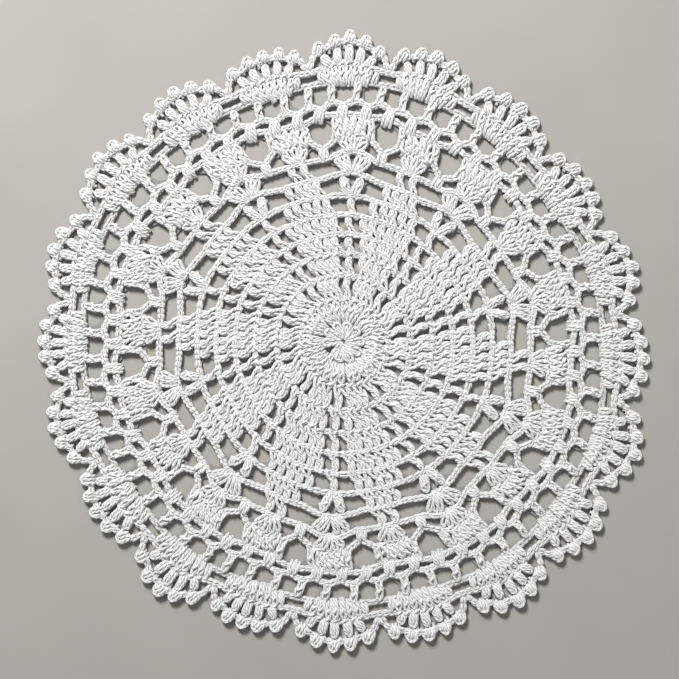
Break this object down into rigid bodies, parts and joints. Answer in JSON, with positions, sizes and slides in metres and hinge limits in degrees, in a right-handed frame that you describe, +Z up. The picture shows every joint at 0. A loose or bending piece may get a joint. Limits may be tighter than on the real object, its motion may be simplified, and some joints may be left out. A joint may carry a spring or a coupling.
{
  "type": "crocheted lace doily",
  "caption": "Round crocheted cotton doily with a close centre, ribs of open lace and a scalloped edge of picot-tipped fans, lying flat.",
  "frame": {"origin": "middle of the flat underside, on the surface that the doily rests on", "axes": "+Z up out of the right side of the doily, +Y towards the top of the picture, +X towards its right"},
  "size_m": [0.3024, 0.3074, 0.003],
  "materials": {
    "white_cotton": "matt undyed cotton yarn"
  },
  "bodies": {
    "root": {"doily": "white_cotton"}
  },
  "joints": []
}
